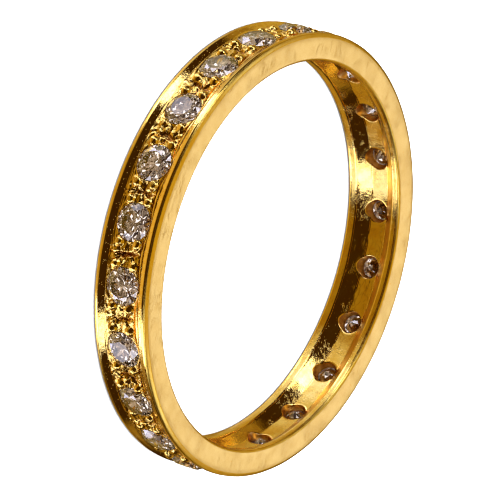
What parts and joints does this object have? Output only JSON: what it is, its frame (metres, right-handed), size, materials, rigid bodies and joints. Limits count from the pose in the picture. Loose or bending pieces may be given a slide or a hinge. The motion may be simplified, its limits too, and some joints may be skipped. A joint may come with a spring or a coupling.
{
  "type": "eternity ring",
  "caption": "Gold finger ring with round brilliants set in a channel all the way round, each held by four grains and open behind.",
  "frame": {"origin": "on the finger axis, in the plane of the side face that the ring lies on", "axes": "+Z along the finger axis, up from the face that it lies on; +X and +Y across the finger"},
  "size_m": [0.0194, 0.0194, 0.0027],
  "materials": {
    "gold": "polished yellow gold, satin on the side faces",
    "brilliant": "clear faceted stone"
  },
  "bodies": {
    "root": {"band": "gold", "stone_01": "brilliant", "stone_02": "brilliant", "stone_03": "brilliant", "stone_04": "brilliant", "stone_05": "brilliant", "stone_06": "brilliant", "stone_07": "brilliant", "stone_08": "brilliant", "stone_09": "brilliant", "stone_10": "brilliant", "stone_11": "brilliant", "stone_12": "brilliant", "stone_13": "brilliant", "stone_14": "brilliant", "stone_15": "brilliant", "stone_16": "brilliant", "stone_17": "brilliant", "stone_18": "brilliant", "stone_19": "brilliant", "stone_20": "brilliant", "stone_21": "brilliant", "stone_22": "brilliant"}
  },
  "joints": []
}
